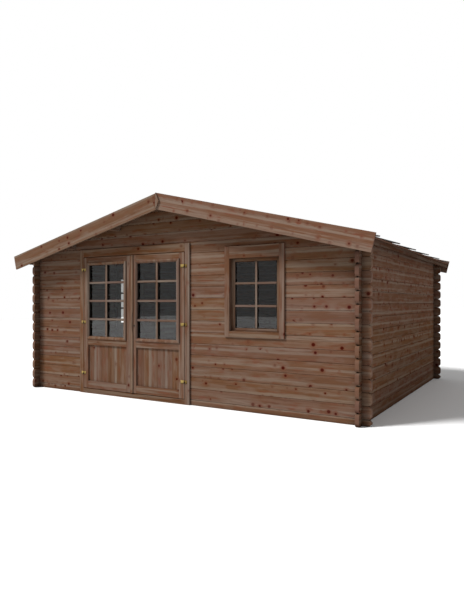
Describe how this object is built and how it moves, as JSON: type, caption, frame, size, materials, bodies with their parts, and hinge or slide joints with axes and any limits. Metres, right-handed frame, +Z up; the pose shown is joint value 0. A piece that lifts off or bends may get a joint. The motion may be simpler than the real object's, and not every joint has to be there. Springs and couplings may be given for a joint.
{
  "type": "log cabin",
  "caption": "Garden log cabin with interlocked corner logs, a low gable roof in felt, a glazed double door and small-paned windows.",
  "frame": {"origin": "middle of the whole part's box, on the ground", "axes": "+Z up, -Y out of the front with the double door, +X along the front to the viewer's right"},
  "size_m": [5.436, 4.428, 2.632],
  "materials": {
    "log_wood": "stained, satin",
    "roof_wood": "stained, satin",
    "joinery_wood": "stained, satin",
    "floor_wood": "stained, satin",
    "felt": "mineral surfaced, matt",
    "glazing": "clear",
    "hinge_brass": "polished, dulled",
    "lock_metal": "dark"
  },
  "bodies": {
    "cabin": {"front_wall_left": "log_wood", "front_wall_right": "log_wood", "front_gable": "log_wood", "back_wall": "log_wood", "back_gable": "log_wood", "left_wall": "log_wood", "right_wall": "log_wood", "ridge_beam": "roof_wood", "purlins": "roof_wood", "roof_boards_left": "roof_wood", "roof_boards_right": "roof_wood", "roof_felt_left": "felt", "roof_felt_right": "felt", "ridge_felt": "felt", "barge_front_left": "joinery_wood", "barge_front_right": "joinery_wood", "barge_rear_left": "joinery_wood", "barge_rear_right": "joinery_wood", "gable_finials": "joinery_wood", "door_posts": "joinery_wood", "door_head": "joinery_wood", "door_threshold": "joinery_wood", "floor_boards": "floor_wood", "floor_joists": "floor_wood", "door_frame_hinges": "hinge_brass", "front_window_posts": "joinery_wood", "front_window_head_sill": "joinery_wood", "front_window_sash": "joinery_wood", "front_window_glass": "glazing", "left_window_posts": "joinery_wood", "left_window_head_sill": "joinery_wood", "left_window_sash": "joinery_wood", "left_window_glass": "glazing"},
    "door_left": {"door_left_stiles": "joinery_wood", "door_left_rails": "joinery_wood", "door_left_panel": "joinery_wood", "door_left_glass": "glazing", "door_left_hinges": "hinge_brass", "door_meeting_strip": "joinery_wood"},
    "door_right": {"door_right_stiles": "joinery_wood", "door_right_rails": "joinery_wood", "door_right_panel": "joinery_wood", "door_right_glass": "glazing", "door_right_hinges": "hinge_brass", "door_lock": "lock_metal"}
  },
  "joints": [
    {"name": "door_left_hinge", "type": "hinge", "parent": "cabin", "child": "door_left", "pos_m": [-1.505, -1.963, 1], "axis": [0, 0, -1], "range_deg": [0, 150]},
    {"name": "door_right_hinge", "type": "hinge", "parent": "cabin", "child": "door_right", "pos_m": [0.255, -1.963, 1], "axis": [0, 0, 1], "range_deg": [0, 150]}
  ]
}
